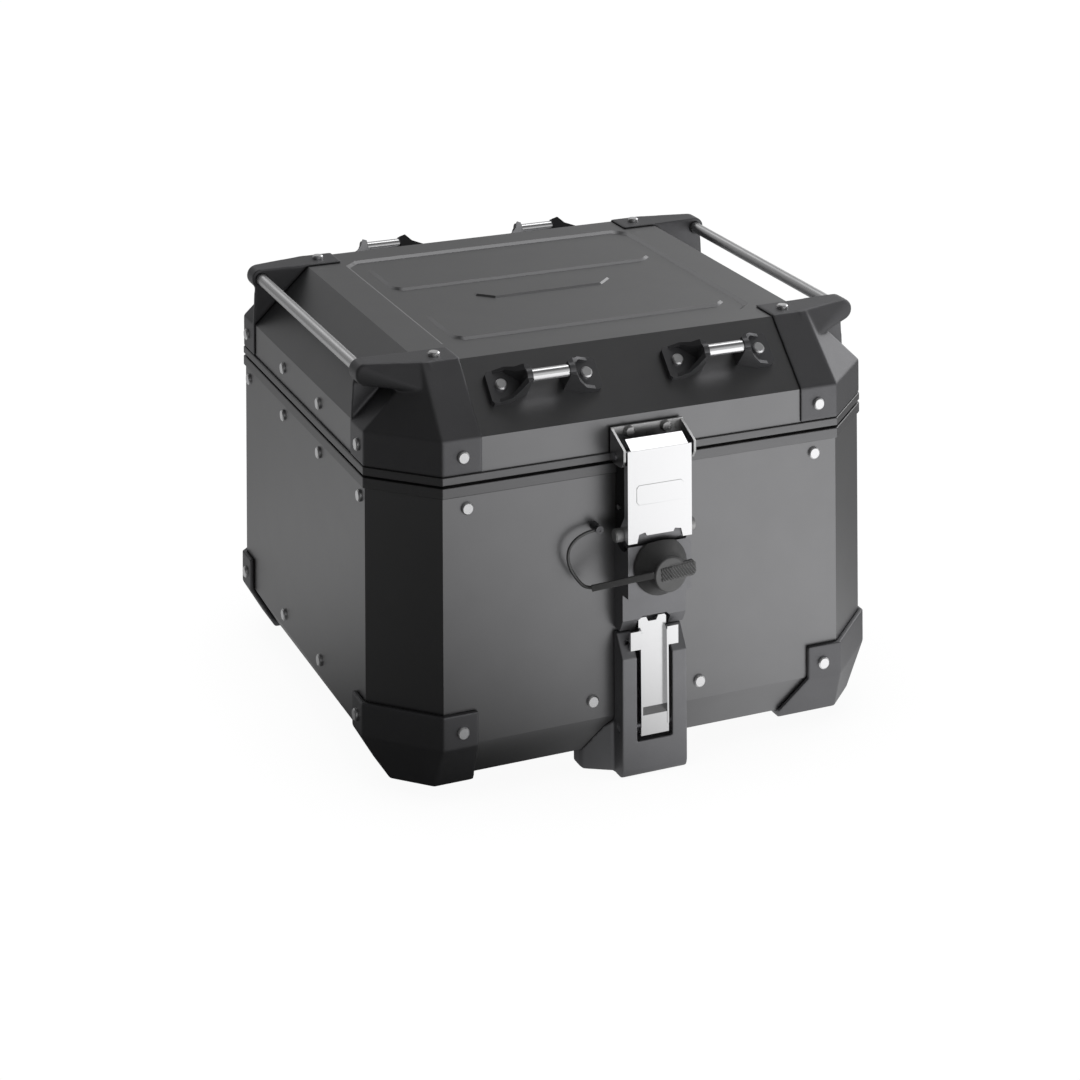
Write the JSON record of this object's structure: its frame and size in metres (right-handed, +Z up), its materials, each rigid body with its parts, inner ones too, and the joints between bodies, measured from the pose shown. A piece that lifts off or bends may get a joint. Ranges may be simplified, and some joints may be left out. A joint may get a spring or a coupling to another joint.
{
  "type": "motorcycle top case",
  "caption": "Folded aluminium top case with a rear-hinged lid, moulded corners, side rail tubes, tie-downs, front draw latch with key lock and a carrier release lever.",
  "frame": {"origin": "middle of the carrier plate's underside, level with the bottom of the release housing", "axes": "+Z up, -Y towards the latch side, +Y towards the hinge side, X across the case"},
  "size_m": [0.4682, 0.4996, 0.3438],
  "materials": {
    "painted_shell": "satin dark grey powder coat",
    "moulding": "fine-grained black moulding",
    "trim": "satin black trim rail",
    "rubber": "matt black rubber",
    "rivet": "satin rivet heads and rail tubes",
    "polished": "polished stainless pressing",
    "bracket_steel": "dark passivated steel with bright cut edges",
    "black_steel": "black painted steel",
    "zinc": "zinc-plated hardware"
  },
  "bodies": {
    "case": {"base_shell": "painted_shell", "base_trim_rail": "trim", "floor_mat": "rubber", "carrier_plate": "moulding", "carrier_plate_screws": "zinc", "corner_protector_fl": "moulding", "corner_protector_fr": "moulding", "corner_protector_rl": "moulding", "corner_protector_rr": "moulding", "base_rivets": "rivet", "protector_rivets": "rivet", "hinge_base_leaves": "black_steel", "hinge_pins": "zinc", "hinge_base_rivets": "rivet", "latch_frame": "black_steel", "latch_frame_pins": "bracket_steel", "lock_housing": "moulding", "latch_pivot_pin": "zinc", "release_housing": "moulding", "release_pivot_pin": "zinc", "release_spring": "zinc", "housing_screws": "zinc", "cap_tether": "rubber", "tether_anchor": "moulding"},
    "lid": {"lid_shell": "painted_shell", "lid_trim_rail": "trim", "lid_seal": "rubber", "lid_corner_fl": "moulding", "lid_corner_fr": "moulding", "lid_corner_rl": "moulding", "lid_corner_rr": "moulding", "lid_rivets": "rivet", "corner_bolts": "rivet", "rail_tube_left": "rivet", "rail_tube_right": "rivet", "tie_down_brackets": "moulding", "tie_down_bars": "polished", "tie_down_bolts": "rivet", "tie_down_nuts": "zinc", "hinge_lid_leaves": "black_steel", "hinge_lid_rivets": "rivet", "latch_bracket": "bracket_steel", "latch_bracket_pad": "rubber", "latch_bracket_rivets": "bracket_steel", "latch_crossbar": "zinc"},
    "latch": {"latch_lever": "polished", "latch_hook": "zinc"},
    "lock": {"lock_cylinder": "zinc", "lock_cam": "zinc"},
    "cap": {"lock_cap": "rubber"},
    "release": {"release_lever": "polished"},
    "catch": {"carrier_bolt": "zinc"}
  },
  "joints": [
    {"name": "lid_hinge", "type": "hinge", "parent": "case", "child": "lid", "pos_m": [0, 0.226, 0.2555], "axis": [-1, 0, 0], "range_deg": [0, 80]},
    {"name": "latch_pull", "type": "hinge", "parent": "case", "child": "latch", "pos_m": [0, -0.2353, 0.2004], "axis": [1, 0, 0], "range_deg": [0, 50]},
    {"name": "lock_turn", "type": "hinge", "parent": "case", "child": "lock", "pos_m": [0, -0.24, 0.175], "axis": [0, -1, 0], "range_deg": [0, 90]},
    {"name": "cap_pull", "type": "slide", "parent": "case", "child": "cap", "axis": [0, -1, 0], "range_m": [0, 0.025]},
    {"name": "release_pull", "type": "hinge", "parent": "case", "child": "release", "pos_m": [0, -0.228, 0.039], "axis": [1, 0, 0], "range_deg": [0, 35]},
    {"name": "catch_slide", "type": "slide", "parent": "case", "child": "catch", "axis": [0, -1, 0], "range_m": [0, 0.008]}
  ],
  "couplings": [
    {"joint": "catch_slide", "follows": "release_pull", "m_per_rad": 0.013}
  ]
}
